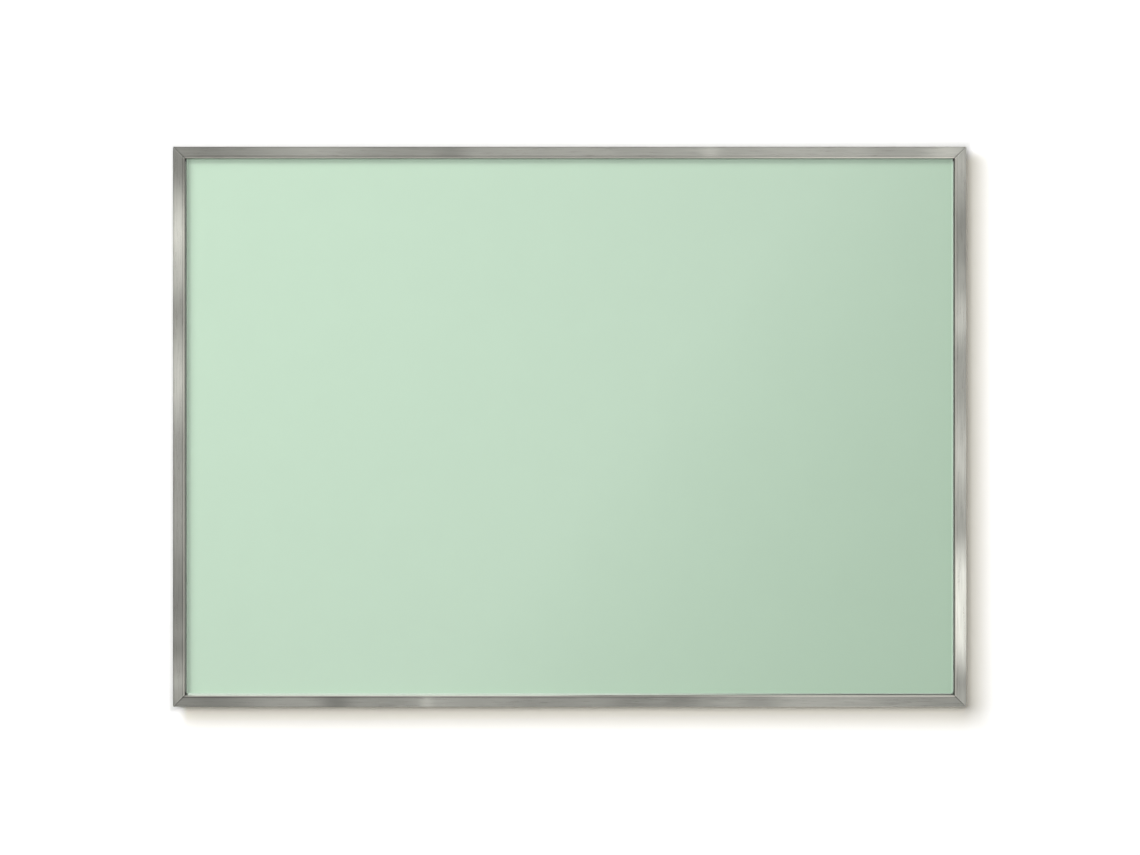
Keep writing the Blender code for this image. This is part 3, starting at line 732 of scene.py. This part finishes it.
def pick(piece, kind, wanted):
    # goes into edit mode with only the faces or edges selected whose points are all wanted
    bpy.ops.object.mode_set(mode="EDIT")
    bpy.ops.mesh.select_mode(type=kind)
    bpy.ops.mesh.select_all(action="DESELECT")
    bpy.ops.object.mode_set(mode="OBJECT")
    mesh = piece.data
    for part in mesh.polygons if kind == "FACE" else mesh.edges:
        part.select = all(wanted(mesh.vertices[i].co) for i in part.vertices)
    bpy.ops.object.mode_set(mode="EDIT")


def roundBar(name, radius, front, back, sides=64):
    # a round bar that stands on the wall's axis, from one depth to another
    selectOnly()
    bpy.ops.mesh.primitive_cylinder_add(
        vertices=sides, radius=radius, depth=back - front,
        location=(0, (front + back) / 2, 0), rotation=(-math.pi / 2, 0, 0),
    )
    bar = bpy.context.object
    bar.name = name
    bakePlace(bar)
    return bar


def cutBlock(piece, size, depth, turn):
    # takes a block out of the piece's back face, turned about the wall's axis
    selectOnly()
    bpy.ops.mesh.primitive_cube_add(size=1, location=(0, depth, 0), rotation=(0, turn, 0), scale=size)
    block = bpy.context.object
    cut = piece.modifiers.new("cut", "BOOLEAN")
    cut.operation = "DIFFERENCE"
    cut.solver = "EXACT"
    cut.object = block
    selectOnly(piece)
    bpy.ops.object.modifier_apply(modifier="cut")
    selectOnly(block)
    bpy.ops.object.delete()


def softenEdges(piece, width, smoothAngle):
    selectOnly(piece)
    soft = piece.modifiers.new("soft", "BEVEL")
    soft.width = width
    soft.segments = 2
    soft.limit_method = "ANGLE"
    soft.angle_limit = math.radians(40)
    bpy.ops.object.modifier_apply(modifier="soft")
    # points that the rounding left on one spot become one
    pick(piece, "FACE", lambda point: True)
    bpy.ops.mesh.remove_doubles(threshold=0.000002)
    bpy.ops.object.mode_set(mode="OBJECT")
    bpy.ops.object.shade_smooth_by_angle(angle=math.radians(smoothAngle))


def setInPlace(pattern, places, prefix, body, material):
    # one copy for each node that it stands for, turned about its own axis
    pattern.data.materials.append(material)
    for node, turn in places.items():
        low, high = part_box(node)
        selectOnly(pattern)
        bpy.ops.object.duplicate()
        piece = bpy.context.object
        piece.name = prefix + node
        piece.location = ((low.x + high.x) / 2, 0, (low.z + high.z) / 2)
        piece.rotation_euler = (0, math.radians(turn), 0)
        bakePlace(piece)
        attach(piece, body)
        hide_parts(node)
    selectOnly(pattern)
    bpy.ops.object.delete()


# corner screws: slotted cheese heads, each stopped at its own turn
cornerScrew = {
    "headRadius": 0.0026,
    "headHeight": 0.0011,
    "headRounding": 0.0005,
    "shankRadius": 0.0015,
    "slotWidth": 0.0008,
    "slotDepth": 0.0006,
    "edge": 0.00006,
    "turns": {"top_left_a": 20, "top_left_b": 96, "top_right_a": 141, "top_right_b": 33,
              "bottom_left_a": 62, "bottom_left_b": 8, "bottom_right_a": 117, "bottom_right_b": 164},
}


def makeCornerScrews():
    low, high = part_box("corner_screw_top_left_a")
    top, tip = high.y, low.y
    underHead = top - cornerScrew["headHeight"]
    screw = roundBar("corner_screw", cornerScrew["headRadius"], underHead, top)
    # the shank grows out of the head's front face
    pick(screw, "FACE", lambda point: point.y < underHead + touch)
    bpy.ops.mesh.inset(thickness=cornerScrew["headRadius"] - cornerScrew["shankRadius"])
    bpy.ops.mesh.extrude_region_move(TRANSFORM_OT_translate={"value": (0, tip - underHead, 0)})
    bpy.ops.object.mode_set(mode="OBJECT")
    # the rim of its back face is rounded over
    pick(screw, "EDGE", lambda point: point.y > top - touch)
    bpy.ops.mesh.bevel(offset=cornerScrew["headRounding"], segments=6, profile=0.5, affect="EDGES")
    bpy.ops.object.mode_set(mode="OBJECT")
    slot = (cornerScrew["headRadius"] * 3, cornerScrew["slotDepth"] * 2, cornerScrew["slotWidth"])
    cutBlock(screw, slot, top, 0)
    softenEdges(screw, cornerScrew["edge"], 35)
    places = {"corner_screw_" + key: turn for key, turn in cornerScrew["turns"].items()}
    setInPlace(screw, places, "slotted_", "board", plated)


makeCornerScrews()

# hanger screws: countersunk heads with a cross recess
hangerScrew = {
    "headRadius": 0.0028,
    "shankRadius": 0.0015,
    "recessLength": 0.0030,
    "recessWidth": 0.00062,
    "recessDepth": 0.0008,
    "hubSize": 0.42,  # of the recess's length
    "hubDepth": 2.2,  # of its depth, half of it inside the head
    "edge": 0.00006,
    "turns": {"left": 30, "right": 74},
}


def makeHangerScrews():
    low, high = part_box("hanger_screw_left")
    top, tip = high.y, low.y
    cone = hangerScrew["headRadius"] - hangerScrew["shankRadius"]
    screw = roundBar("hanger_screw", hangerScrew["shankRadius"], tip, top - cone)
    # the countersunk head opens out to its flat face
    pick(screw, "FACE", lambda point: point.y > top - cone - touch)
    bpy.ops.mesh.extrude_region_move(TRANSFORM_OT_translate={"value": (0, cone, 0)})
    wider = hangerScrew["headRadius"] / hangerScrew["shankRadius"]
    bpy.ops.transform.resize(value=(wider, 1, wider), center_override=(0, top, 0))
    bpy.ops.object.mode_set(mode="OBJECT")
    arm = (hangerScrew["recessLength"], hangerScrew["recessDepth"] * 2, hangerScrew["recessWidth"])
    cutBlock(screw, arm, top, 0)
    cutBlock(screw, arm, top, math.pi / 2)
    hubSize = hangerScrew["recessLength"] * hangerScrew["hubSize"]
    hub = (hubSize, hangerScrew["recessDepth"] * hangerScrew["hubDepth"], hubSize)
    cutBlock(screw, hub, top, math.pi / 4)
    softenEdges(screw, hangerScrew["edge"], 35)
    for side, turn in hangerScrew["turns"].items():
        places = {"hanger_screw_" + side: turn}
        selectOnly(screw)
        bpy.ops.object.duplicate()
        setInPlace(bpy.context.object, places, "cross_", "hanger_" + side, plated)
    selectOnly(screw)
    bpy.ops.object.delete()


makeHangerScrews()

# bumpers: domed pads with a rolled rim, on a thin disc of adhesive
pad = {
    "radius": 0.0052,
    "rounding": 0.0013,
    "adhesive": 0.0003,
    "adhesiveInset": 0.0003,
    "rim": 0.00015,
}


def makeBumpers():
    low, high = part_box("bumper_left")
    seat, wall = low.y, high.y
    dome = roundBar("bumper", pad["radius"], seat + pad["adhesive"], wall, 96)
    pick(dome, "EDGE", lambda point: point.y > wall - touch)
    bpy.ops.mesh.bevel(offset=pad["rounding"], segments=10, profile=0.58, affect="EDGES")
    bpy.ops.object.mode_set(mode="OBJECT")
    pick(dome, "FACE", lambda point: point.y < seat + pad["adhesive"] + touch)
    bpy.ops.mesh.inset(thickness=pad["adhesiveInset"])
    bpy.ops.mesh.extrude_region_move(TRANSFORM_OT_translate={"value": (0, -pad["adhesive"], 0)})
    bpy.ops.object.mode_set(mode="OBJECT")
    softenEdges(dome, pad["rim"], 40)
    places = {"bumper_left": 0, "bumper_right": 0}
    setInPlace(dome, places, "domed_", "board", padRubber)


makeBumpers()
print("stage: screws and bumpers modelled")

# the camera stands square to the board, as in the picture of 1140 by 855
shot = {
    "lens": 85.0,
    "sensor": 36.0,
    "fieldWidth": 1.2212,  # what the picture's width covers at the board's face
    "right": 0.0004,
    "below": 0.0008,
}


def placeCamera():
    distance = shot["fieldWidth"] * shot["lens"] / shot["sensor"]
    place = (board["middleX"] + shot["right"], board["front"] - distance, board["middleZ"] - shot["below"])
    bpy.ops.object.camera_add(location=place, rotation=(math.pi / 2, 0, 0))
    camera = bpy.context.object
    camera.data.lens = shot["lens"]
    camera.data.sensor_width = shot["sensor"]
    camera.data.clip_end = 50
    bpy.context.scene.camera = camera


placeCamera()

# a white wall behind the board and a pale floor below it
studio = {
    # painted shadow: the wall's colour close to the board, darker and warmer than further out
    "wallNear": (1.02, 0.975, 0.87),  # in the board's shadow
    "wallFar": (1.42, 1.42, 1.42),
    # painted shade: a faint grey close to the board above and to the left of it
    "haloWide": (0.945, 0.945, 0.935),
    "haloWideReach": (0.016, 0.004),
    "haloClose": (0.74, 0.74, 0.715),
    "haloCloseReach": (0.004, 0.0),
    "wallGap": 0.0003,
    "shadowReach": 0.050,
    "shadowSide": (-0.002, 0.002),  # across the board's right and lower edge it sets in
    "shadowStart": (-0.003, 0.013),  # from the board's upper right and lower left corner
    "cornerEase": (0.012, 0.3),  # the shadow is fainter where it turns the corner: reach, share
    # painted light: the rise evens out the lamps' fall-off from left to right
    "evenOut": (0.18, -0.22),  # the wall's colour rises to the right by this for each metre, from here on
    "wallGlow": (0.10, 0.45),  # from here to there the wall turns to its own light
    "wallSize": 12.0,
    "floorColour": (0.92, 0.92, 0.90),
    "floorCloud": 0.6,
    "floorMottle": 0.03,
    "floorGlow": 0.85,
    "floorFade": (2.5, 5.5),  # it turns white this far out, so that it has no edge
    "floorDrop": 1.75,
}


def stagePlane(name, location, rotation):
    # only the camera sees it, and only from its front, so it hides and shades nothing behind it
    selectOnly()
    bpy.ops.mesh.primitive_plane_add(size=studio["wallSize"], location=location, rotation=rotation)
    plane = bpy.context.object
    plane.name = name
    bakePlace(plane)
    plane.visible_diffuse = False
    plane.visible_glossy = False
    plane.visible_transmission = False
    plane.visible_shadow = False
    made, web = newWeb(name)
    plane.data.materials.append(made)
    return web


def oneSided(web, colour, glow, glowColour):
    # glow is the share of its own light, so that it stays pale where no lamp reaches
    lit = web.add("ShaderNodeBsdfDiffuse", sockets={"Color": colour})
    own = web.add("ShaderNodeEmission", sockets={"Color": glowColour})
    matt = web.add("ShaderNodeMixShader", sockets={0: glow, 1: lit, 2: own})
    clear = web.add("ShaderNodeBsdfTransparent")
    behind = web.add("ShaderNodeNewGeometry", output="Backfacing")
    mixed = web.add("ShaderNodeMixShader", sockets={0: behind, 1: matt, 2: clear})
    web.add("ShaderNodeOutputMaterial", sockets={"Surface": mixed})


def buildWall():
    place = (board["middleX"], studio["wallGap"], board["middleZ"])
    web = stagePlane("studio_wall", place, (math.pi / 2, 0, 0))
    x, y, z = web.axes(web.places())
    fromMiddleX = x - board["middleX"]
    fromMiddleZ = z - board["middleZ"]
    halfWidth, halfHeight = board["width"] / 2, board["height"] / 2
    pastX = abs(fromMiddleX) - halfWidth
    pastZ = abs(fromMiddleZ) - halfHeight
    away = pastX.largest(pastZ)
    # painted shadow: the shadow falls to the right and below, and there the wall's colour is painted darker
    # and warmer
    toRight = web.smooth(fromMiddleX - halfWidth, *studio["shadowSide"])
    toRight = toRight * web.smooth(halfHeight - fromMiddleZ, *studio["shadowStart"])
    toBelow = web.smooth(-halfHeight - fromMiddleZ, *studio["shadowSide"])
    toBelow = toBelow * web.smooth(fromMiddleX + halfWidth, *studio["shadowStart"])
    shaded = toRight.largest(toBelow)
    cornerReach, cornerShare = studio["cornerEase"]
    corner = web.smooth(pastX.smallest(pastZ), 0.0, cornerReach)
    near = shaded * web.smooth(away, studio["shadowReach"], 0.0) * (1 - cornerShare * corner)
    colour = web.blend(near, solid(studio["wallFar"]), solid(studio["wallNear"]))
    # painted shade: above and to the left of the board the wall is painted only faintly greyer, close to it
    wide = (1 - shaded) * web.smooth(away, *studio["haloWideReach"])
    close = (1 - shaded) * web.smooth(away, *studio["haloCloseReach"])
    colour = web.blend(wide, colour, solid(studio["haloWide"]))
    colour = web.blend(close, colour, solid(studio["haloClose"]))
    # painted light: the wall's colour rises to the right, evening out the lamps' fall-off
    rise, begin = studio["evenOut"]
    colour = web.lit(colour, 1 + rise * fromMiddleX.largest(begin))
    oneSided(web, colour, web.smooth(away, *studio["wallGlow"]), (1, 1, 1, 1))


def buildFloor():
    place = (board["middleX"], -studio["wallSize"] / 2, board["middleZ"] - studio["floorDrop"])
    web = stagePlane("studio_floor", place, (0, 0, 0))
    where = web.places()
    x, y, z = web.axes(where)
    cloud = web.noise(where, (studio["floorCloud"],) * 3, 3.0)
    colour = web.lit(studio["floorColour"], 1 + studio["floorMottle"] * (cloud - 0.5))
    out = web.smooth(abs(x).largest(abs(y)), *studio["floorFade"])
    glow = studio["floorGlow"] + (1 - studio["floorGlow"]) * out
    oneSided(web, colour, glow, web.blend(out, colour, (1, 1, 1, 1)))


buildWall()
buildFloor()

# lamps: power in watts, size in metres, offset from the wall behind the board's middle
lamps = {
    "key_lamp": (48.5, 2.1, (-1.34, -2.0, 0.94)),
    "front_lamp": (22.0, 0.72, (-0.12, -2.4, 0.12)),
    "back_lamp": (64.0, 2.5, (1.3, 2.8, 1.2)),
    "back_fill_lamp": (25.0, 2.0, (-1.8, 2.4, -0.6)),
}


def lightLamps():
    target = Vector((board["middleX"], 0, board["middleZ"]))
    for name, (power, size, offset) in lamps.items():
        bpy.ops.object.light_add(type="AREA", location=target + Vector(offset))
        lamp = bpy.context.object
        lamp.name = name
        lamp.rotation_euler = Vector(offset).to_track_quat("Z", "Y").to_euler()
        lamp.data.energy = power
        lamp.data.shape = "SQUARE"
        lamp.data.size = size
        lamp.visible_camera = False
        lamp.visible_glossy = False
        lamp.visible_transmission = False


# what glossy metal and glass mirror, from the upper left to the lower right of the room
mirrored = {
    "fill": 0.12,
    "slant": (0.80, -0.60),
    "behind": 0.62,
    "behindGain": (0.25, 0.5),
    "behindFrom": (-0.1, 0.3),
    "stops": (
        (0.0, 0.7), (0.36, 0.8), (0.45, 1.3), (0.508, 1.4), (0.526, 0.92), (0.542, 0.62),
        (0.563, 0.32), (0.595, 0.15), (0.62, 1.4), (0.80, 1.4), (1.0, 1.15),
    ),
}


def lightWorld():
    world = bpy.data.worlds.new("studio")
    bpy.context.scene.world = world
    world.use_nodes = True
    web = Web(world.node_tree)
    x, y, z = web.axes(web.places("Generated"))
    slantX, slantZ = mirrored["slant"]
    slant = slantX * x + slantZ * z
    ramp = web.add("ShaderNodeValToRGB", {"stops": mirrored["stops"]}, {"Fac": slant * 0.5 + 0.5})
    camera = web.add("ShaderNodeLightPath", output="Is Camera Ray")
    seen = camera.largest(camera.other("Is Transmission Ray"))
    glossy = camera.other("Is Glossy Ray")
    fill = mirrored["fill"]
    # behind the wall the room is plainer: a soft panel above, darker towards the floor
    gainX, gainZ = mirrored["behindGain"]
    rear = mirrored["behind"] * (1 + gainZ * z + gainX * x)
    behind = web.smooth(y, *mirrored["behindFrom"])
    level = ramp + behind * (rear - ramp)
    strength = fill + seen * (1 - fill) + glossy * (level - fill)
    background = web.add("ShaderNodeBackground", sockets={"Color": (1, 1, 1, 1), "Strength": strength})
    web.add("ShaderNodeOutputWorld", sockets={"Surface": background})


lightLamps()
lightWorld()
bpy.context.scene.view_settings.view_transform = "Standard"
print("stage: studio lit")
